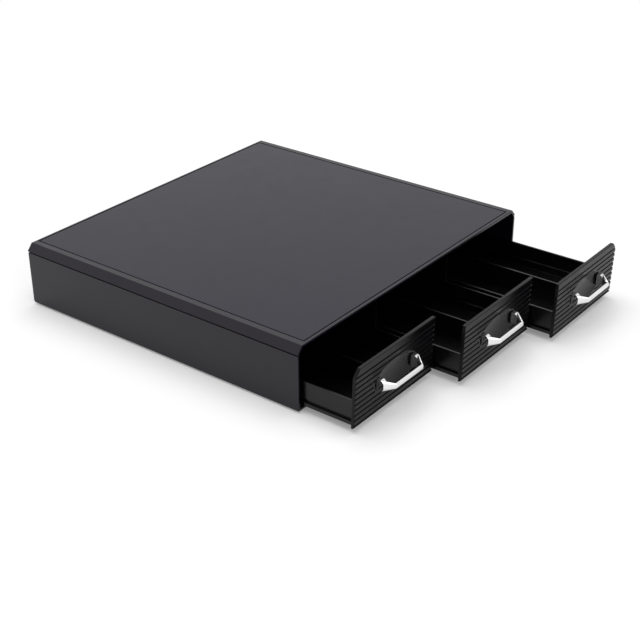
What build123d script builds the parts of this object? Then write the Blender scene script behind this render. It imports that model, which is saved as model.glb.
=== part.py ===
from build123d import *
import os
from math import hypot, sqrt

# Coffee pod cabinet: a low case with three drawers side by side, each with two lanes for pods.
# Millimetres, +Z up, the drawer fronts face -Y, and the drawers stand partly open as stored.
# The origin is on the worktop, under the middle of the whole cabinet's bounding box.

# ---- case -------------------------------------------------------------------------------------
case_width = 345.0            # over the cover
case_depth = 320.0
case_height = 60.0            # from the base's underside to the top face
cover_thickness = 2.4
bevel_out = 6.0               # how far the cover's bevel comes in
bevel_down = 6.9              # how far it comes down
bevel_wall = 2.4              # thickness of the bevelled wall
cover_overhang = 0.6          # cover proud of the side panels
cover_edge = 0.5              # chamfer along the cover's front and back
seam = 1.6                    # height of the joint between cover and side panel
seam_depth = 1.2              # how far it goes in, behind it the side panel has a tongue
skirt_wall = 1.4              # the cover's skirt inside the side panels
skirt_drop = 4.0
rib_wall = 1.2                # ribs under the cover that hold the partitions
rib_depth = 2.4
side_wall = 2.0
base_wall = 1.8
back_wall = 2.2
back_recess = 2.0             # back panel let in from the back edge
partition_wall = 2.0
partition_seat = 0.6          # depth of the groove in the base under a partition
base_rim_wall = 1.2           # upright rim of the base inside the side panels
fit = 0.1                     # play of fixed pieces

# ---- top inlay --------------------------------------------------------------------------------
inlay_thickness = 1.5
inlay_gap = 1.2               # open joint around it
inlay_side_margin = 5.7       # from the bevel's upper edge
inlay_front_margin = 2.8
inlay_back_margin = 2.2
inlay_corner = 0.6

# ---- feet and back screws ---------------------------------------------------------------------
foot_height = 2.0             # proud of the base
foot_radius = 7.0
foot_seat = 0.8               # let into the base
foot_inset = 24.0             # foot centre from the case's edges
boss_radius = 3.1             # screw bosses at the back of sides and partitions
boss_length = 12.0
boss_gap = 0.4                # bosses to tray and cover skirt
back_screw_radius = 1.2
back_screw_length = 10.0
back_head_radius = 2.3
back_head_height = 1.6
recess_width = 0.7            # cross recess in every screw head
recess_share = 0.6            # its length and depth, as a share of the head's
head_play = 0.3               # screw head to what stands beside it
screw_play = 0.06

# ---- drawer fronts ----------------------------------------------------------------------------
drawer_names = ("left", "middle", "right")
drawer_pull = (55.6, 84.7, 110.0)     # how far each stands open
front_thickness = 3.2
front_lean = 1.6              # the top stands this much further out
front_gap = 0.8               # between neighbouring fronts
front_side_gap = 0.5          # to the side panels
front_top_gap = 0.8           # to the cover
front_bottom_gap = 0.8        # to the base
front_foot_bevel = 1.4        # bevel of the lower front edge
front_edge = 0.4              # chamfer of the upper edges
corner_cut_x = 6.0            # cut top corner of the outer fronts
corner_cut_z = 6.6
groove_count = 10
groove_pitch = 4.95
groove_width = 1.8
groove_depth = 1.0
groove_first = 3.1            # lowest groove's centre above the front's lower edge
low_plain_count = 3           # lower grooves that run right across
high_plain_count = 2          # and upper ones
dish_half_width = 30.0
dish_half_height = 13.0
dish_depth = 2.2
dish_reach = 1.8              # how far its centre lies off the surface
dish_rim = 1.2                # plain band between the dish and the grooves' ends

# ---- handles ----------------------------------------------------------------------------------
handle_foot_x = 24.5          # feet from the front's middle
foot_width = 4.6
foot_half_height = 5.4
foot_reach = 6.0              # how far a foot's outer end stands out from its pad
foot_round = 4.4              # rounding of the foot's section
pad_width = 7.0               # flat pads under the feet
pad_height = 12.0
pad_proud = 0.4
bar_reach = 14.0              # bar's outer face from the front
bar_thickness = 3.4
bar_half_height = 2.4
bar_round = 1.3               # rounding of the bar's section
bar_bend_x = 19.2             # where the bar bends towards the feet
bend_thickness = 5.0          # leg at the bend, measured level
bend_blend = 2.2              # from the bend to where the bar is straight
handle_screw_radius = 1.25
handle_screw_bite = 2.8       # into the foot
handle_head_radius = 2.6
handle_head_height = 1.8

# ---- trays ------------------------------------------------------------------------------------
tray_wall = 1.6
tray_floor = 1.8
tray_lift = 2.0               # tray's underside above the base
tray_wall_top = 27.5          # above the base's underside
divider_wall = 1.6            # strip between a tray's two lanes
divider_seat = 0.6            # how deep it sits in the tray
divider_drop = 1.0            # divider's top below the tray's
wall_inset = 2.3              # tray wall from the front's side edge
ledge_inset = 1.4             # ledge from the front's side edge
ledge_rise = 1.0              # ledge's underside above the tray's
ledge_height = 3.2
channel_height = 3.4
channel_recess = 1.1
front_wall_half = 36.0        # half width of the tray's raised front wall
front_wall_top = 42.0
back_play = 1.0               # tray to back panel when closed
close_play = 0.4              # front to rails when closed

# ---- rails ------------------------------------------------------------------------------------
run_play = 0.3                # between a tray and what it runs on
strip_inset = 1.0             # runner strips on the base, from the front's side edge
rail_length = 62.0
stop_length = 4.0             # stop block at the back end of each tray's channel

# ---- worked out -------------------------------------------------------------------------------
half_width = case_width / 2
half_depth = case_depth / 2
floor_z = foot_height                                 # underside of the base
top_z = floor_z + case_height
ceiling_z = top_z - cover_thickness
bevel_z = top_z - bevel_down                          # lower edge of the bevel
bevel_run = bevel_wall * hypot(bevel_out, bevel_down) / bevel_down   # wall, measured level
base_top = floor_z + base_wall
side_inner = half_width - cover_overhang - side_wall
skirt_inner = side_inner - fit / 2 - skirt_wall
inlay_hole_x = half_width - bevel_out - inlay_side_margin
inlay_hole_front = inlay_front_margin - half_depth
inlay_hole_back = half_depth - inlay_back_margin
side_boss_x = side_inner - head_play - back_head_radius

front_width = (2 * side_inner - 2 * front_side_gap - 2 * front_gap) / len(drawer_names)
drawer_step = front_width + front_gap
drawer_x = [(i - 1) * drawer_step for i in range(len(drawer_names))]
partition_x = [-drawer_step / 2, drawer_step / 2]

front_low = base_top + front_bottom_gap
front_high = ceiling_z - front_top_gap
front_y = front_lean - half_depth                     # face of a closed front, at its lower edge
front_back_y = front_y + front_thickness
bay_front_y = front_back_y + close_play               # front edge of the partitions
back_inner_y = half_depth - back_recess - back_wall
tray_inner_front = front_back_y + tray_wall
rail_front_y = tray_inner_front + close_play
rail_back_y = rail_front_y + rail_length
tray_back_y = back_inner_y - back_play
lane_back_y = tray_back_y - tray_wall

tray_low = base_top + tray_lift
ledge_low = tray_low + ledge_rise
strip_top = ledge_low - run_play
ledge_high = ledge_low + ledge_height
channel_high = ledge_high + channel_height
tray_floor_top = tray_low + tray_floor
tray_high = floor_z + tray_wall_top
divider_high = tray_high - divider_drop
rail_low = ledge_high + run_play
rail_high = channel_high - run_play
rail_in = wall_inset + channel_recess - run_play      # rail's reach past the front's side edge
back_screw_z = (tray_high + boss_gap + boss_radius,
                bevel_z - skirt_drop - boss_gap - boss_radius)

grooves_z = [front_low + groove_first + i * groove_pitch for i in range(groove_count)]
middle_grooves = grooves_z[low_plain_count:groove_count - high_plain_count]
handle_z = sum(middle_grooves) / len(middle_grooves)
travel = (tray_back_y - stop_length) - rail_back_y - run_play


def face_y(z):
    """Front face of a closed front at height z, which leans out towards the top."""
    return front_y - front_lean * (z - front_low) / (front_high - front_low)


handle_base_y = face_y(handle_z) - pad_proud
bar_face_y = face_y(handle_z) - bar_reach
origin_y = ((bar_face_y - max(drawer_pull)) + half_depth) / 2


def block(x0, x1, y0, y1, z0, z1):
    """Box between two corners."""
    return Pos((x0 + x1) / 2, (y0 + y1) / 2, (z0 + z1) / 2) * Box(x1 - x0, y1 - y0, z1 - z0)


def outline(points):
    """Flat shape with these corners, turned so that it faces forward."""
    area = sum(a[0] * b[1] - b[0] * a[1] for a, b in zip(points, points[1:] + points[:1]))
    return Polygon(*(points if area > 0 else points[::-1]), align=None)


def along_x(points, x0, x1):
    """Outline in Y and Z, drawn out along X."""
    return extrude(Plane.YZ.offset(x0) * outline(points), amount=x1 - x0)


def along_y(points, y0, y1):
    """Outline in X and Z, drawn out along Y."""
    return extrude(Plane.XZ.offset(-y1) * outline(points), amount=y1 - y0)


def along_z(points, z0, z1):
    """Outline in X and Y, drawn out along Z."""
    return extrude(Plane.XY.offset(z0) * outline(points), amount=z1 - z0)


def rod_y(x, z, radius, y0, y1):
    """Round bar along Y."""
    return extrude(Plane.XZ.offset(-y1) * Pos(x, z) * Circle(radius), amount=y1 - y0)


def pill_y(x, z, width, height, y0, y1):
    """Upright pad with round ends, drawn out along Y."""
    return extrude(Plane.XZ.offset(-y1) * Pos(x, z) * SlotOverall(height, width, rotation=90),
                   amount=y1 - y0)


def group(solids):
    """Separate solids of one kind, kept together."""
    return Part() + solids


def mirrored(points):
    """An outline with every X turned to the other side."""
    return [(-x, z) for x, z in points]


# ---- case pieces ------------------------------------------------------------------------------
def bevel_x(z):
    """Half width of the bevelled wall's inner face at height z."""
    return half_width - bevel_out * (z - bevel_z) / bevel_down - bevel_run


def make_top_cover():
    outer = [(-half_width, bevel_z), (-half_width + bevel_out, top_z),
             (half_width - bevel_out, top_z), (half_width, bevel_z)]
    inner = [(-bevel_x(bevel_z), bevel_z), (-bevel_x(ceiling_z), ceiling_z),
             (bevel_x(ceiling_z), ceiling_z), (bevel_x(bevel_z), bevel_z)]
    shell = along_y(outer + inner[::-1], -half_depth, half_depth)
    rims = (shell.edges().filter_by(Axis.X)
            .filter_by_position(Axis.Z, top_z - fit, top_z + fit))
    cover = chamfer(rims, cover_edge)
    join_z = bevel_z + bevel_down * (half_width - bevel_run - skirt_inner) / bevel_out
    skirt = [(side_inner - fit / 2, bevel_z - skirt_drop), (skirt_inner, bevel_z - skirt_drop),
             (skirt_inner, join_z), (side_inner - fit / 2, join_z)]
    cover += along_y(skirt, bay_front_y, half_depth)
    cover += along_y(mirrored(skirt), bay_front_y, half_depth)
    for x in partition_x:
        for side in (-1, 1):
            inside = x + side * (partition_wall / 2 + fit)
            outside = inside + side * rib_wall
            cover += block(min(inside, outside), max(inside, outside), bay_front_y,
                           back_inner_y - fit, ceiling_z - rib_depth, ceiling_z)
    recess = block(-inlay_hole_x, inlay_hole_x, inlay_hole_front, inlay_hole_back,
                   top_z - inlay_thickness, top_z)
    return cover - recess


def make_top_inlay():
    plate = block(-inlay_hole_x + inlay_gap, inlay_hole_x - inlay_gap,
                  inlay_hole_front + inlay_gap, inlay_hole_back - inlay_gap,
                  top_z - inlay_thickness, top_z)
    plate = fillet(plate.edges().filter_by(Axis.Z), inlay_corner)
    return chamfer(plate.faces().sort_by(Axis.Z)[-1].edges(), inlay_thickness / 5)


def screw_boss(x, z):
    """Boss in front of the back panel with its pilot hole, as (body, hole)."""
    body = rod_y(x, z, boss_radius, back_inner_y - boss_length, back_inner_y)
    hole = rod_y(x, z, back_screw_radius + screw_play, back_inner_y - boss_length + back_wall,
                 back_inner_y)
    return body, hole


def back_screw_places():
    """X and Z of every back panel screw."""
    return [(x, z) for x in (-side_boss_x, *partition_x, side_boss_x) for z in back_screw_z]


def with_bosses(piece, x):
    """The piece with its two screw bosses at this X."""
    for z in back_screw_z:
        body, hole = screw_boss(x, z)
        piece = piece + body - hole
    return piece


def make_right_side_panel():
    high = bevel_z - seam
    plate = block(side_inner, side_inner + side_wall, -half_depth, half_depth, floor_z, high)
    plate += block(side_inner, side_inner + side_wall - seam_depth, -half_depth, half_depth,
                   high, bevel_z - fit / 2)
    corner = plate.edges().filter_by(Axis.X).sort_by(Axis.Z)[:2].sort_by(Axis.Y)[-1:]
    plate = fillet(corner, back_recess)
    edge_x = side_inner - front_side_gap
    plate += block(edge_x - rail_in, side_inner, rail_front_y, rail_back_y, rail_low, rail_high)
    for z in back_screw_z:
        plate += block(side_boss_x, side_inner, back_inner_y - boss_length, back_inner_y,
                       z - boss_radius / 2, z + boss_radius / 2)
    return with_bosses(plate, side_boss_x)


def make_partition(x):
    wall = block(x - partition_wall / 2, x + partition_wall / 2, bay_front_y,
                 back_inner_y - fit / 2, base_top - partition_seat, ceiling_z)
    reach = front_gap / 2 + rail_in
    wall += block(x - reach, x + reach, rail_front_y, rail_back_y, rail_low, rail_high)
    return with_bosses(wall, x) - block(x - case_width, x + case_width, back_inner_y - fit / 2,
                                        half_depth, floor_z, top_z)


def make_back_panel():
    side = side_inner - fit
    skirt = skirt_inner - fit
    skirt_low = bevel_z - skirt_drop - fit
    join_z = bevel_z + bevel_down * (half_width - bevel_run - skirt) / bevel_out - 2 * fit
    high = ceiling_z - fit / 2
    half = [(side, base_top), (side, skirt_low), (skirt, skirt_low), (skirt, join_z),
            (bevel_x(high) - 2 * fit, high)]
    panel = along_y(half + mirrored(half)[::-1], back_inner_y, back_inner_y + back_wall)
    for x, z in back_screw_places():
        panel -= rod_y(x, z, back_screw_radius + screw_play, back_inner_y, half_depth)
    return panel


def foot_places():
    """X and Y of the four feet."""
    return [(x, y) for x in (foot_inset - half_width, half_width - foot_inset)
            for y in (foot_inset - half_depth, half_depth - foot_inset)]


def make_base_plate():
    half = side_inner - fit / 2
    plate = block(-half, half, -half_depth, half_depth - back_recess, floor_z, base_top)
    for side in (-1, 1):
        outer = side * half
        inner = side * (half - base_rim_wall)
        plate += block(min(outer, inner), max(outer, inner), bay_front_y, back_inner_y - fit,
                       base_top, rail_low - run_play)
    for x in drawer_x:
        for side in (-1, 1):
            near = x + side * (front_width / 2 - strip_inset)
            far = x + side * (front_width / 2 - rail_in)
            plate += block(min(near, far), max(near, far), rail_front_y, tray_back_y,
                           base_top, strip_top)
    for x in partition_x:
        half_groove = partition_wall / 2 + fit / 2
        plate -= block(x - half_groove, x + half_groove, bay_front_y - fit, back_inner_y,
                       base_top - partition_seat, strip_top)
    for x, y in foot_places():
        plate -= Pos(x, y, floor_z + foot_seat / 2) * Cylinder(foot_radius + fit, foot_seat)
    return plate


def make_rubber_feet():
    height = foot_height + foot_seat
    foot = Cylinder(foot_radius, height, align=(Align.CENTER, Align.CENTER, Align.MIN))
    foot = chamfer(foot.faces().sort_by(Axis.Z)[0].edges(), foot_height / 4)
    return group([Pos(x, y, 0) * foot for x, y in foot_places()])


def screw(x, z, y_seat, head_side, radius, length, head_radius, head_height):
    """Pan head screw along Y. Its head lies on the head_side of y_seat."""
    tip = y_seat - head_side * length
    far = y_seat + head_side * head_height
    head = rod_y(x, z, head_radius, min(y_seat, far), max(y_seat, far))
    outer = head.faces().sort_by(Axis.Y)[-1 if head_side > 0 else 0]
    head = chamfer(outer.edges(), head_height / 3)
    arm = recess_share * head_radius
    for half_x, half_z in ((arm, recess_width / 2), (recess_width / 2, arm)):
        inner = far - head_side * recess_share * head_height
        head -= block(x - half_x, x + half_x, min(inner, far), max(inner, far),
                      z - half_z, z + half_z)
    return head + rod_y(x, z, radius, min(y_seat, tip), max(y_seat, tip))


def make_back_panel_screws():
    seat = back_inner_y + back_wall
    return group([screw(x, z, seat, 1, back_screw_radius, back_screw_length, back_head_radius,
                        back_head_height) for x, z in back_screw_places()])


# ---- drawer pieces, each made closed and about x = 0 ------------------------------------------
def make_tray():
    edge = front_width / 2
    ledge_x = edge - ledge_inset
    wall_x = edge - wall_inset
    low_x = wall_x - channel_recess
    outer = [(low_x, tray_low), (low_x, ledge_low), (ledge_x, ledge_low), (ledge_x, ledge_high),
             (low_x, ledge_high), (low_x, channel_high), (wall_x, channel_high),
             (wall_x, tray_high)]
    tray = along_y(outer + mirrored(outer)[::-1], front_back_y, tray_back_y)
    step_z = channel_high + tray_wall
    inner = [(low_x - tray_wall, tray_floor_top), (low_x - tray_wall, step_z),
             (wall_x - tray_wall, step_z), (wall_x - tray_wall, tray_high)]
    tray -= along_y(inner + mirrored(inner)[::-1], tray_inner_front, lane_back_y)
    back_y = front_back_y - front_y
    for half, high in ((wall_x, tray_high), (front_wall_half, floor_z + front_wall_top)):
        wedge = [(face_y(tray_low) + back_y, tray_low), (face_y(high) + back_y, high),
                 (tray_inner_front, high), (tray_inner_front, tray_low)]
        tray += along_x(wedge, -half, half)
    half_slot = (divider_wall + fit) / 2
    tray -= block(-half_slot, half_slot, tray_inner_front - divider_seat,
                  lane_back_y + divider_seat, tray_floor_top - divider_seat, divider_high)
    for side in (-1, 1):
        near, far = side * ledge_x, side * (low_x - tray_wall / 2)
        tray += block(min(near, far), max(near, far), tray_back_y - stop_length, tray_back_y,
                      ledge_high - run_play, channel_high)
        tray -= rod_y(side * handle_foot_x, handle_z, handle_screw_radius + screw_play,
                      -case_depth, tray_inner_front)
    return tray


def make_lane_divider():
    end = divider_seat - fit / 2
    return block(-divider_wall / 2, divider_wall / 2, tray_inner_front - end, lane_back_y + end,
                 tray_floor_top - divider_seat, divider_high)


def groove_end(z):
    """How far from the middle a groove at height z has to stop, or 0 if it runs across."""
    if z not in middle_grooves:
        return 0.0
    rise = (z - handle_z) / dish_half_height
    dish = dish_half_width * sqrt(max(0.0, 1 - rise * rise))
    beside_foot = abs(z - handle_z) < pad_height / 2 + groove_width
    pad = handle_foot_x + pad_width / 2 if beside_foot else 0.0
    return max(dish, pad) + dish_rim


def cut_groove(z, x0, x1):
    """Groove with sloping sides in the leaning face, from x0 to x1."""
    half = groove_width / 2
    floor = half / 2
    bottom = face_y(z) + groove_depth
    return along_x([(face_y(z - half), z - half), (bottom, z - floor), (bottom, z + floor),
                    (face_y(z + half), z + half), (face_y(z) - front_lean, z)], x0, x1)


def make_front(name):
    edge = front_width / 2
    thick = front_thickness
    low_y = face_y(front_low + front_foot_bevel)
    outline = [(front_y + front_foot_bevel, front_low), (low_y, front_low + front_foot_bevel),
               (face_y(front_high - front_edge), front_high - front_edge),
               (face_y(front_high) + front_edge, front_high),
               (face_y(front_high) + thick, front_high), (front_back_y, front_low)]
    front = along_x(outline, -edge, edge)
    for side, cut_name in ((-1, "left"), (1, "right")):
        if name == cut_name:
            cut = [(side * edge, front_high), (side * (edge - corner_cut_x), front_high),
                   (side * edge, front_high - corner_cut_z)]
            front -= along_y(cut, -case_depth, case_depth)
    for z in grooves_z:
        end = groove_end(z)
        if end == 0.0:
            front -= cut_groove(z, -edge, edge)
        else:
            front -= cut_groove(z, -edge, -end)
            front -= cut_groove(z, end, edge)
    across = dish_depth + dish_reach
    spread = 1 / sqrt(1 - (dish_reach / across) ** 2)
    bowl = scale(Sphere(1), by=(dish_half_width * spread, across, dish_half_height * spread))
    front -= Pos(0, face_y(handle_z) - dish_reach, handle_z) * bowl
    for side in (-1, 1):
        x = side * handle_foot_x
        front += pill_y(x, handle_z, pad_width, pad_height, handle_base_y,
                        front_back_y - front_lean)
        front -= rod_y(x, handle_z, handle_screw_radius + screw_play, handle_base_y, half_depth)
    return front


def handle_section(x, y_face, thickness, half_height, corner):
    """Rounded section of the handle across X, with its outer face at y_face."""
    return (Plane.YZ.offset(x) * Pos(y_face + thickness / 2, handle_z)
            * RectangleRounded(thickness, 2 * half_height, corner))


def make_handle():
    """Bow handle: a rounded bar whose bent ends swell into feet on the front's pads."""
    foot_out = handle_foot_x + foot_width / 2
    straight = bar_bend_x - bend_blend
    bar = handle_section(-straight, bar_face_y, bar_thickness, bar_half_height, bar_round)
    handle = extrude(bar, amount=2 * straight)
    for side in (-1, 1):
        foot = handle_section(side * foot_out, handle_base_y - foot_reach, 2 * foot_reach,
                              foot_half_height, foot_round)
        bend = handle_section(side * bar_bend_x, bar_face_y, bend_thickness, bar_half_height,
                              bar_round)
        end = handle_section(side * straight, bar_face_y, bar_thickness, bar_half_height,
                             bar_round)
        handle += loft([foot, bend, end], ruled=True)
        handle += extrude(foot, amount=-side * foot_width)
    foot_in = foot_out - foot_width
    rise = (bar_face_y - handle_base_y + foot_reach) * foot_width / (foot_out - bar_bend_x)
    leg_in = handle_base_y - foot_reach + bend_thickness + rise
    inner = [(foot_in, handle_base_y), (foot_in, leg_in),
             (bar_bend_x, bar_face_y + bend_thickness), (straight, bar_face_y + bar_thickness),
             (straight, handle_base_y)]
    for half in (inner, mirrored(inner)):
        handle -= along_z(half, floor_z, top_z)
    handle -= block(-half_width, half_width, handle_base_y, handle_base_y + 2 * foot_reach,
                    floor_z, top_z)
    for side in (-1, 1):
        handle -= rod_y(side * handle_foot_x, handle_z, handle_screw_radius + screw_play,
                        handle_base_y - handle_screw_bite - screw_play, handle_base_y)
    return handle


def make_handle_screws():
    length = tray_inner_front - handle_base_y + handle_screw_bite
    return group([screw(side * handle_foot_x, handle_z, tray_inner_front, 1,
                        handle_screw_radius, length, handle_head_radius, handle_head_height)
                  for side in (-1, 1)])


# ---- assembly ---------------------------------------------------------------------------------
right_side = make_right_side_panel()
nodes = {
    "top_cover": make_top_cover(),
    "top_inlay": make_top_inlay(),
    "right_side_panel": right_side,
    "left_side_panel": mirror(right_side, about=Plane.YZ),
    "back_panel": make_back_panel(),
    "base_plate": make_base_plate(),
    "partition_left": make_partition(partition_x[0]),
    "partition_right": make_partition(partition_x[1]),
    "rubber_feet": make_rubber_feet(),
    "back_panel_screws": make_back_panel_screws(),
}
tray, lane_divider = make_tray(), make_lane_divider()
handle, handle_screws = make_handle(), make_handle_screws()
for name, x, pull in zip(drawer_names, drawer_x, drawer_pull):
    for kind, solid in (("tray", tray), ("lane_divider", lane_divider),
                        ("front", make_front(name)), ("handle", handle),
                        ("handle_screws", handle_screws)):
        nodes[f"{kind}_{name}"] = Pos(x, -pull, 0) * solid

os.makedirs("parts", exist_ok=True)
for name, solid in nodes.items():
    export_step(Pos(0, -origin_y, 0) * solid, f"parts/{name}.step")

print("front width", round(front_width, 3), "travel", round(travel, 3))
print("tray inside length", round(lane_back_y - tray_inner_front, 3))
print("origin y", round(origin_y, 3), "handle z", round(handle_z, 3))
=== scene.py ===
"""Coffee pod cabinet: finishes, floor, light and camera around the fixed frame.

Everything is in metres, with +Z up and the drawer fronts facing -Y. The solids
of the frame keep their place and shape. This file dresses each of them in its
own finish and builds the studio that they are seen in.
"""

import logging
import math
from dataclasses import dataclass, field
from enum import Enum
from typing import Any, Dict, List, Sequence, Tuple

import bpy
from mathutils import Matrix, Vector


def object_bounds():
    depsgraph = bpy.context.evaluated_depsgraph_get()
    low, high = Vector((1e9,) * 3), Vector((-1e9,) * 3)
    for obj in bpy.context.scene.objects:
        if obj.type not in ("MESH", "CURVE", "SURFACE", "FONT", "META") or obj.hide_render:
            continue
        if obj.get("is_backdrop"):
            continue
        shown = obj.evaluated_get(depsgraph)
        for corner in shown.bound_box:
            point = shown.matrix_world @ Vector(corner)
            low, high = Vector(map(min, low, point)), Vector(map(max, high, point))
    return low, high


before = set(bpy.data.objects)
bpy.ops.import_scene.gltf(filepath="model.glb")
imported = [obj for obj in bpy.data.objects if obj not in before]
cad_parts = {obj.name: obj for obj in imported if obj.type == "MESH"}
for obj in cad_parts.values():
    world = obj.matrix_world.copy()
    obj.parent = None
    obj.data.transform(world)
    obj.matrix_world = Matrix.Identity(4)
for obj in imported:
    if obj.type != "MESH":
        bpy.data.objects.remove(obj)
CAD_BOUNDS = [[float(v) for v in corner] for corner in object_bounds()]

LOG = logging.getLogger("pod_cabinet")
MILLIMETRE = 0.001

Colour = Tuple[float, float, float]

WHITE = (1.0, 1.0, 1.0, 1.0)
NOISE_FINENESS = 0.55
"""How strong each finer layer of the noise is, next to the one above it."""
USUAL_SPREAD = (0.3, 0.7)
"""Between what values nearly all of a noise lies."""
TINT_SPREAD = (0.32, 0.68)
"""The noise values at which a tint has reached its first and its second colour."""
EDGE_SAMPLES = 6
"""How many rays look for an edge to soften."""
EVEN = (1.0, 1.0, 1.0)
"""Noise patches that are as long along each axis."""


class Bay(Enum):
    """The three drawers, from left to right as seen from the front."""

    LEFT = "left"
    MIDDLE = "middle"
    RIGHT = "right"


# ---- finishes -------------------------------------------------------------------------------
class NodeSheet:
    """One material's node tree, with short calls to add and join nodes."""

    def __init__(self, name: str) -> None:
        """Makes an empty material.

        Args:
            name: The material's name.
        """
        self.material = bpy.data.materials.new(name)
        self.material.use_nodes = True
        self.tree = self.material.node_tree
        self.tree.nodes.clear()
        self.output = self.tree.nodes.new("ShaderNodeOutputMaterial")

    def add(self, kind: str, **values: Any) -> bpy.types.Node:
        """Adds a node.

        Args:
            kind: The node's type name.
            **values: Input sockets by name, with _ for a space, or attributes of the node.

        Returns:
            The new node.
        """
        node = self.tree.nodes.new(kind)
        for key, value in values.items():
            socket = key.replace("_", " ")
            if socket in node.inputs:
                node.inputs[socket].default_value = value
            else:
                setattr(node, key, value)
        return node

    def join(self, source: bpy.types.NodeSocket, target: bpy.types.NodeSocket) -> None:
        """Links an output to an input.

        Args:
            source: The output.
            target: The input.
        """
        self.tree.links.new(source, target)

    def place(self) -> bpy.types.NodeSocket:
        """Adds the point's place on the object.

        Returns:
            The place, in metres.
        """
        return self.add("ShaderNodeTexCoord").outputs["Object"]

    def noise(self, size: float, detail: float, stretch: Sequence[float] = EVEN
              ) -> bpy.types.NodeSocket:
        """Adds cloudy noise.

        Args:
            size: The size of its patches in metres.
            detail: How many finer layers it has.
            stretch: How many times longer the patches are along X, Y and Z.

        Returns:
            The noise's value, about 0.5 on average.
        """
        mapping = self.add("ShaderNodeMapping")
        mapping.inputs["Scale"].default_value = [1 / (size * s) for s in stretch]
        self.join(self.place(), mapping.inputs["Vector"])
        cloud = self.add("ShaderNodeTexNoise", Scale=1.0, Detail=detail,
                         Roughness=NOISE_FINENESS)
        self.join(mapping.outputs["Vector"], cloud.inputs["Vector"])
        return cloud.outputs["Fac"]

    def between(self, value: bpy.types.NodeSocket, low: float, high: float
                ) -> bpy.types.NodeSocket:
        """Maps a noise value's usual spread to a range.

        Args:
            value: The noise.
            low: The result where the noise is low.
            high: The result where it is high.

        Returns:
            The mapped value.
        """
        spread = self.add("ShaderNodeMapRange", From_Min=USUAL_SPREAD[0],
                          From_Max=USUAL_SPREAD[1], To_Min=low, To_Max=high)
        self.join(value, spread.inputs["Value"])
        return spread.outputs["Result"]

    def tint(self, value: bpy.types.NodeSocket, low: Colour, high: Colour
             ) -> bpy.types.NodeSocket:
        """Blends two colours by a noise value.

        Args:
            value: The noise.
            low: The colour where the noise is low.
            high: The colour where it is high.

        Returns:
            The blended colour.
        """
        ramp = self.add("ShaderNodeValToRGB")
        for stop, position, colour in zip(ramp.color_ramp.elements, TINT_SPREAD, (low, high)):
            stop.position = position
            stop.color = (*colour, 1)
        self.join(value, ramp.inputs["Fac"])
        return ramp.outputs["Color"]

    def relief(self, height: bpy.types.NodeSocket, depth: float, edge: float
               ) -> bpy.types.NodeSocket:
        """Adds surface relief and softens sharp edges.

        Args:
            height: The relief as a value of 0 to 1.
            depth: How deep it is, in metres.
            edge: The radius that edges appear rounded by, in metres.

        Returns:
            The normal to give to the shader.
        """
        bump = self.add("ShaderNodeBump", Strength=1.0, Distance=depth)
        self.join(height, bump.inputs["Height"])
        if edge > 0:
            rounded = self.add("ShaderNodeBevel", Radius=edge, samples=EDGE_SAMPLES)
            self.join(rounded.outputs["Normal"], bump.inputs["Normal"])
        return bump.outputs["Normal"]

    def shade(self, shader: bpy.types.NodeSocket) -> bpy.types.Material:
        """Sends a shader to the surface.

        Args:
            shader: The shader's output.

        Returns:
            The finished material.
        """
        self.join(shader, self.output.inputs["Surface"])
        return self.material


def seen_directly(tree: bpy.types.NodeTree) -> bpy.types.NodeSocket:
    """Adds a value that is 1 for rays that show the surroundings themselves.

    Args:
        tree: The node tree to add it to.

    Returns:
        The value: camera, glossy and transmission rays give 1.
    """
    path = tree.nodes.new("ShaderNodeLightPath")
    total = path.outputs["Is Camera Ray"]
    for kind in ("Is Glossy Ray", "Is Transmission Ray"):
        either = tree.nodes.new("ShaderNodeMath")
        either.operation = "MAXIMUM"
        tree.links.new(total, either.inputs[0])
        tree.links.new(path.outputs[kind], either.inputs[1])
        total = either.outputs["Value"]
    return total


def scaled(colour: Colour, factor: float) -> Colour:
    """Makes a colour lighter or darker.

    Args:
        colour: The colour, linear.
        factor: What to multiply it by.

    Returns:
        The new colour.
    """
    return (colour[0] * factor, colour[1] * factor, colour[2] * factor)


@dataclass(frozen=True)
class MouldedPlastic:
    """Injection moulded plastic with a finely eroded mould texture.

    Attributes:
        name: The material's name.
        colour: Its mean colour, linear.
        roughness: Its mean roughness.
        uneven: How much the roughness wanders.
        grain: The size of the mould texture, in metres.
        grain_depth: How deep that texture is, in metres.
        edge: How far sharp edges are softened, in metres.
        flow_size: The size of the moulding's faint flow clouds, in metres.
        flow: How much longer those clouds are along Y.
        tone: How far the clouds darken and lighten the colour.
        wipe_size: The size of the patches that are wiped glossier or duller, in metres.
        bend: The plastic's index of refraction.
    """

    name: str
    colour: Colour
    roughness: float
    uneven: float = 0.02
    grain: float = 0.45 * MILLIMETRE
    grain_depth: float = 0.012 * MILLIMETRE
    edge: float = 0.35 * MILLIMETRE
    flow_size: float = 60.0 * MILLIMETRE
    flow: float = 2.5
    tone: Tuple[float, float] = (0.9, 1.1)
    wipe_size: float = 18.0 * MILLIMETRE
    bend: float = 1.4

    def build(self) -> bpy.types.Material:
        """Builds the material.

        Returns:
            The material.
        """
        sheet = NodeSheet(self.name)
        cloud = sheet.noise(self.flow_size, 4.0, (1.0, self.flow, 1.0))
        shader = sheet.add("ShaderNodeBsdfPrincipled", Metallic=0.0, IOR=self.bend)
        dark, light = (scaled(self.colour, factor) for factor in self.tone)
        sheet.join(sheet.tint(cloud, dark, light), shader.inputs["Base Color"])
        wiped = sheet.noise(self.wipe_size, 3.0)
        sheet.join(sheet.between(wiped, self.roughness - self.uneven,
                                 self.roughness + self.uneven), shader.inputs["Roughness"])
        grain = sheet.noise(self.grain, 1.0)
        sheet.join(sheet.relief(grain, self.grain_depth, self.edge), shader.inputs["Normal"])
        return sheet.shade(shader.outputs["BSDF"])


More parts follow.
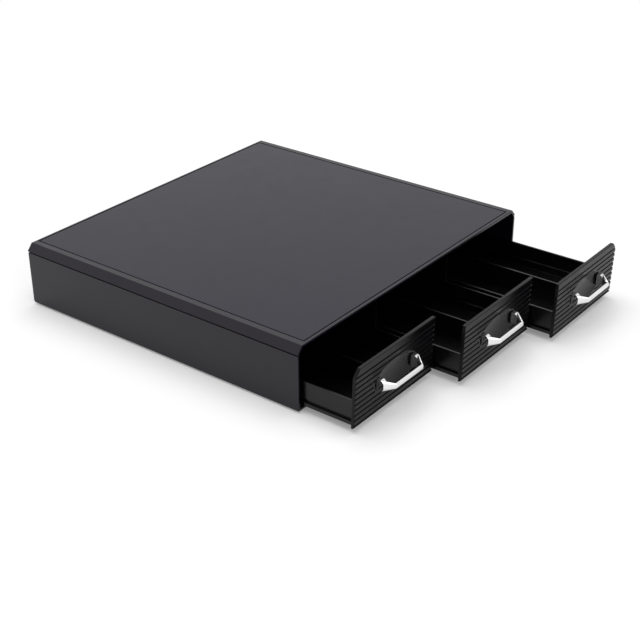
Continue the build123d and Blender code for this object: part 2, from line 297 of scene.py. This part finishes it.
@dataclass(frozen=True)
class ChromePlate:
    """Bright chrome over a cast core, which leaves it very slightly wavy.

    Attributes:
        name: The material's name.
        colour: The metal's colour, linear.
        roughness: Its mean roughness.
        film_size: The size of the patches of thin film on it, in metres.
        film_tone: How much the film darkens the colour.
        film_haze: The part of the roughness that is there without and with the film.
        wave_size: The length of its waves, in metres.
        wave_depth: How deep they are, in metres.
    """

    name: str
    colour: Colour
    roughness: float
    film_size: float = 9.0 * MILLIMETRE
    film_tone: float = 0.96
    film_haze: Tuple[float, float] = (0.6, 1.5)
    wave_size: float = 5.0 * MILLIMETRE
    wave_depth: float = 0.02 * MILLIMETRE

    def build(self) -> bpy.types.Material:
        """Builds the material.

        Returns:
            The material.
        """
        sheet = NodeSheet(self.name)
        shader = sheet.add("ShaderNodeBsdfPrincipled", Metallic=1.0)
        film = sheet.noise(self.film_size, 3.0)
        sheet.join(sheet.tint(film, scaled(self.colour, self.film_tone), self.colour),
                   shader.inputs["Base Color"])
        clean, hazy = (self.roughness * part for part in self.film_haze)
        sheet.join(sheet.between(film, clean, hazy), shader.inputs["Roughness"])
        wave = sheet.noise(self.wave_size, 1.0)
        sheet.join(sheet.relief(wave, self.wave_depth, 0.0), shader.inputs["Normal"])
        return sheet.shade(shader.outputs["BSDF"])


@dataclass(frozen=True)
class ZincedSteel:
    """Screw steel with a passivated zinc coat and faint turning marks.

    Attributes:
        name: The material's name.
        colour: The coat's colour, linear.
        roughness: Its mean roughness.
        bloom_size: The size of the coat's crystals, in metres.
        tone: How far the crystals darken and lighten the colour.
        haze: What they take off and add to the roughness.
        mark_size: The width of the turning marks, in metres.
        mark_run: How much longer the marks are along X, Y and Z.
        mark_depth: How deep they are, in metres.
        edge: How far sharp edges are softened, in metres.
    """

    name: str
    colour: Colour
    roughness: float
    bloom_size: float = 1.2 * MILLIMETRE
    tone: Tuple[float, float] = (0.8, 1.1)
    haze: Tuple[float, float] = (-0.06, 0.08)
    mark_size: float = 0.12 * MILLIMETRE
    mark_run: Tuple[float, float, float] = (6.0, 1.0, 6.0)
    mark_depth: float = 0.008 * MILLIMETRE
    edge: float = 0.15 * MILLIMETRE

    def build(self) -> bpy.types.Material:
        """Builds the material.

        Returns:
            The material.
        """
        sheet = NodeSheet(self.name)
        shader = sheet.add("ShaderNodeBsdfPrincipled", Metallic=1.0)
        bloom = sheet.noise(self.bloom_size, 4.0)
        dark, light = (scaled(self.colour, factor) for factor in self.tone)
        sheet.join(sheet.tint(bloom, dark, light), shader.inputs["Base Color"])
        glossy, dull = (self.roughness + change for change in self.haze)
        sheet.join(sheet.between(bloom, glossy, dull), shader.inputs["Roughness"])
        marks = sheet.noise(self.mark_size, 1.0, self.mark_run)
        sheet.join(sheet.relief(marks, self.mark_depth, self.edge), shader.inputs["Normal"])
        return sheet.shade(shader.outputs["BSDF"])


@dataclass(frozen=True)
class SoftRubber:
    """Dull rubber of the feet, slightly dusty and pebbled.

    Attributes:
        name: The material's name.
        colour: The rubber's colour, linear.
        dust: The colour of the dust on it, linear.
        dust_size: The size of the dusty patches, in metres.
        dullness: The roughness without and with dust.
        pebble_size: The size of its pebbles, in metres.
        pebble_depth: How deep the pebbling is, in metres.
        edge: How far sharp edges are softened, in metres.
    """

    name: str
    colour: Colour
    dust: Colour
    dust_size: float = 3.0 * MILLIMETRE
    dullness: Tuple[float, float] = (0.68, 0.9)
    pebble_size: float = 0.6 * MILLIMETRE
    pebble_depth: float = 0.05 * MILLIMETRE
    edge: float = 0.3 * MILLIMETRE

    def build(self) -> bpy.types.Material:
        """Builds the material.

        Returns:
            The material.
        """
        sheet = NodeSheet(self.name)
        shader = sheet.add("ShaderNodeBsdfPrincipled", Metallic=0.0)
        patches = sheet.noise(self.dust_size, 5.0)
        sheet.join(sheet.tint(patches, self.colour, self.dust), shader.inputs["Base Color"])
        sheet.join(sheet.between(patches, *self.dullness), shader.inputs["Roughness"])
        pebbles = sheet.noise(self.pebble_size, 2.0)
        sheet.join(sheet.relief(pebbles, self.pebble_depth, self.edge),
                   shader.inputs["Normal"])
        return sheet.shade(shader.outputs["BSDF"])


# ---- the cabinet and its drawers ------------------------------------------------------------
def dress(node: str, material: bpy.types.Material) -> None:
    """Gives a solid of the frame its finish.

    Args:
        node: The solid's name.
        material: The finish.
    """
    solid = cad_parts[node]
    if not solid.material_slots:
        solid.data.materials.append(material)
    for holder in solid.material_slots:
        holder.material = material
    LOG.info("%s wears %s", node, material.name)


@dataclass
class Cabinet:
    """The case: cover, inlay, sides, back, base, partitions, feet and screws.

    Attributes:
        shell: The finish of the cover, sides, back and base.
        inlay: The finish of the flat panel in the cover.
        shaded_inside: The finish of the partitions.
        feet: The finish of the feet.
        screws: The finish of the screws in the back.
    """

    shell: MouldedPlastic = MouldedPlastic(
        "satin_case_plastic", (0.0042, 0.0022, 0.0075), 0.3)
    inlay: MouldedPlastic = MouldedPlastic(
        "matt_inlay_plastic", (0.0035, 0.0022, 0.011), 0.34, grain=0.7 * MILLIMETRE,
        bend=1.34)
    # Painted shade: the partitions get a darker, weakly reflecting copy of the case plastic,
    # which stands in for the shade that they sit in deep inside the case.
    shaded_inside: MouldedPlastic = MouldedPlastic(
        "shade_darkened_inner_plastic", (0.0016, 0.0016, 0.0018), 0.3, bend=1.25)
    feet: SoftRubber = SoftRubber("foot_rubber", (0.012, 0.012, 0.012), (0.03, 0.029, 0.027))
    screws: ZincedSteel = ZincedSteel("zinced_back_screws", (0.55, 0.56, 0.57), 0.3)

    def build(self) -> None:
        """Dresses every piece of the case."""
        shell = self.shell.build()
        for node in ("top_cover", "left_side_panel", "right_side_panel", "back_panel",
                     "base_plate"):
            dress(node, shell)
        dress("top_inlay", self.inlay.build())
        shaded_inside = self.shaded_inside.build()
        for node in ("partition_left", "partition_right"):
            dress(node, shaded_inside)
        dress("rubber_feet", self.feet.build())
        dress("back_panel_screws", self.screws.build())


@dataclass
class DrawerSet:
    """The three drawers, which share their finishes.

    Attributes:
        bays: The drawers to dress.
        tray: The finish of the trays and their lane dividers.
        front: The finish of the ribbed fronts.
        handle: The finish of the bow handles.
        screws: The finish of the handles' screws.
    """

    bays: Tuple[Bay, ...] = tuple(Bay)
    tray: MouldedPlastic = MouldedPlastic(
        "tray_plastic", (0.0017, 0.0017, 0.0018), 0.24, bend=1.36)
    front: MouldedPlastic = MouldedPlastic(
        "ribbed_front_plastic", (0.0028, 0.0027, 0.0035), 0.25, bend=1.25)
    handle: ChromePlate = ChromePlate("chromed_handle", (0.8, 0.8, 0.81), 0.05)
    screws: ZincedSteel = ZincedSteel("zinced_handle_screws", (0.5, 0.5, 0.51), 0.32)

    def build(self) -> None:
        """Dresses the pieces of every drawer."""
        finishes = {"tray": self.tray.build(), "front": self.front.build(),
                    "handle": self.handle.build(), "handle_screws": self.screws.build()}
        finishes["lane_divider"] = finishes["tray"]
        for bay in self.bays:
            for kind, material in finishes.items():
                dress(f"{kind}_{bay.value}", material)


# ---- the studio -----------------------------------------------------------------------------
@dataclass(frozen=True)
class SoftBox:
    """A rectangular lamp.

    Attributes:
        name: The lamp's name.
        place: Where it hangs, in metres.
        aim: What it points at, in metres.
        size: Its width and height, in metres.
        watts: Its power.
    """

    name: str
    place: Tuple[float, float, float]
    aim: Tuple[float, float, float]
    size: Tuple[float, float]
    watts: float

    def build(self) -> bpy.types.Object:
        """Hangs the lamp.

        Returns:
            The lamp's object.
        """
        light = bpy.data.lights.new(self.name, "AREA")
        light.shape = "RECTANGLE"
        light.size, light.size_y = self.size
        light.energy = self.watts
        lamp = bpy.data.objects.new(self.name, light)
        bpy.context.scene.collection.objects.link(lamp)
        away = Vector(self.place) - Vector(self.aim)
        lamp.location = self.place
        lamp.rotation_mode = "QUATERNION"
        lamp.rotation_quaternion = away.to_track_quat("Z", "Y")
        return lamp


@dataclass
class Viewpoint:
    """The camera, as found from the corners of the case in the photograph.

    Attributes:
        place: Where it stands, in metres.
        heading: How far it looks to the right of +Y, in radians.
        dip: How far it looks down, in radians.
        tilt: How far it leans to the left, in radians.
        focal: Its focal length in pixels of the photograph.
        picture: The photograph's width in pixels.
        sensor: Its sensor's width in millimetres.
        reach: The nearest and farthest that it sees, in metres.
    """

    place: Tuple[float, float, float] = (-0.8627, -0.6510, 0.5708)
    heading: float = 0.9159
    dip: float = 0.5002
    tilt: float = -0.0034
    focal: float = 1283.9
    picture: float = 640.0
    sensor: float = 36.0
    reach: Tuple[float, float] = (0.01, 50.0)

    def build(self) -> bpy.types.Object:
        """Stands the camera up and makes it the scene's.

        Returns:
            The camera's object.
        """
        data = bpy.data.cameras.new("viewpoint")
        data.sensor_width = self.sensor
        data.lens = self.focal * self.sensor / self.picture
        data.clip_start, data.clip_end = self.reach
        camera = bpy.data.objects.new("viewpoint", data)
        bpy.context.scene.collection.objects.link(camera)
        forward = Vector((math.sin(self.heading) * math.cos(self.dip),
                          math.cos(self.heading) * math.cos(self.dip), -math.sin(self.dip)))
        level = Vector((math.cos(self.heading), -math.sin(self.heading), 0.0))
        upright = level.cross(forward)
        right = math.cos(self.tilt) * level + math.sin(self.tilt) * upright
        above = math.cos(self.tilt) * upright - math.sin(self.tilt) * level
        turn = Matrix((right, above, -forward)).transposed()
        camera.matrix_world = Matrix.Translation(self.place) @ turn.to_4x4()
        bpy.context.scene.camera = camera
        return camera


@dataclass
class Studio:
    """White floor, white surroundings and soft lamps.

    Attributes:
        floor_size: Length of the floor's sides, in metres.
        floor_white: The part of the floor's white that the lamps give, which can be shaded.
        shade_reach: From where to where the floor's shading fades to plain white, in metres
            from the middle.
        bounce: The floor's colour for light that bounces off it.
        sky: Strength of the light from all around.
        lamps: The lamps.
    """

    floor_size: float = 14.0
    floor_white: float = 0.8
    shade_reach: Tuple[float, float] = (0.42, 1.0)
    bounce: float = 0.7
    sky: float = 0.45
    lamps: List[SoftBox] = field(default_factory=lambda: [
        SoftBox("overhead", (0.1, 0.25, 1.9), (0.0, 0.0, 0.05), (2.2, 2.2), 30.0),
        SoftBox("front_fill", (-0.7, -2.1, 1.2), (0.0, -0.1, 0.05), (1.6, 1.2), 9.0),
    ])

    def lay_floor(self) -> bpy.types.Object:
        """Lays the floor.

        Returns:
            The floor's object.
        """
        half = self.floor_size / 2
        mesh = bpy.data.meshes.new("floor")
        mesh.from_pydata([(-half, -half, 0), (half, -half, 0), (half, half, 0),
                          (-half, half, 0)], [], [(0, 1, 2, 3)])
        floor = bpy.data.objects.new("floor", mesh)
        bpy.context.scene.collection.objects.link(floor)
        sheet = NodeSheet("white_floor")
        lit = sheet.add("ShaderNodeBsdfDiffuse",
                        Color=scaled(WHITE[:3], self.floor_white) + WHITE[3:])
        glow = sheet.add("ShaderNodeEmission", Color=WHITE, Strength=1.0 - self.floor_white)
        shown = sheet.add("ShaderNodeAddShader")
        sheet.join(lit.outputs["BSDF"], shown.inputs[0])
        sheet.join(glow.outputs["Emission"], shown.inputs[1])
        reach = sheet.add("ShaderNodeVectorMath", operation="LENGTH")
        sheet.join(sheet.place(), reach.inputs[0])
        fade = sheet.add("ShaderNodeMapRange", interpolation_type="SMOOTHSTEP",
                         From_Min=self.shade_reach[0], From_Max=self.shade_reach[1])
        sheet.join(reach.outputs["Value"], fade.inputs["Value"])
        far = sheet.add("ShaderNodeEmission", Color=WHITE, Strength=1.0)
        ground = sheet.add("ShaderNodeMixShader")
        sheet.join(fade.outputs["Result"], ground.inputs["Fac"])
        sheet.join(shown.outputs["Shader"], ground.inputs[1])
        sheet.join(far.outputs["Emission"], ground.inputs[2])
        plain = sheet.add("ShaderNodeBsdfDiffuse",
                          Color=scaled(WHITE[:3], self.bounce) + WHITE[3:])
        choice = sheet.add("ShaderNodeMixShader")
        sheet.join(seen_directly(sheet.tree), choice.inputs["Fac"])
        sheet.join(plain.outputs["BSDF"], choice.inputs[1])
        sheet.join(ground.outputs["Shader"], choice.inputs[2])
        mesh.materials.append(sheet.shade(choice.outputs["Shader"]))
        floor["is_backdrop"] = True
        return floor

    def light_air(self) -> None:
        """Sets the world: a soft light from all around, white where it is seen."""
        world = bpy.data.worlds.new("studio_air")
        bpy.context.scene.world = world
        world.use_nodes = True
        tree = world.node_tree
        tree.nodes.clear()
        output = tree.nodes.new("ShaderNodeOutputWorld")
        choice = tree.nodes.new("ShaderNodeMixShader")
        for slot, strength in ((1, self.sky), (2, 1.0)):
            light = tree.nodes.new("ShaderNodeBackground")
            light.inputs["Color"].default_value = WHITE
            light.inputs["Strength"].default_value = strength
            tree.links.new(light.outputs["Background"], choice.inputs[slot])
        tree.links.new(seen_directly(tree), choice.inputs["Fac"])
        tree.links.new(choice.outputs["Shader"], output.inputs["Surface"])

    def build(self) -> None:
        """Builds the floor, the air and the lamps."""
        self.lay_floor()
        self.light_air()
        for lamp in self.lamps:
            lamp.build()
            LOG.info("lamp %s is hung", lamp.name)


def write_sizes(before: List[List[float]]) -> Dict[str, List[List[float]]]:
    """Args:
        before: The box of the frame, as its lowest and highest corner.

    Returns:
        Both boxes by name.
    """
    after = [[float(v) for v in corner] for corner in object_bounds()]
    sizes = {"cad": before, "visual": after}
    return sizes


def main() -> None:
    """Builds the view, the studio and every sub-assembly, in that order."""
    logging.basicConfig(level=logging.INFO, format="%(name)s: %(message)s")
    bpy.context.scene.view_settings.view_transform = "Standard"
    Viewpoint().build()
    Studio().build()
    Cabinet().build()
    DrawerSet().build()
    LOG.info("sizes %s", write_sizes(CAD_BOUNDS))


if __name__ == "__main__":
    main()
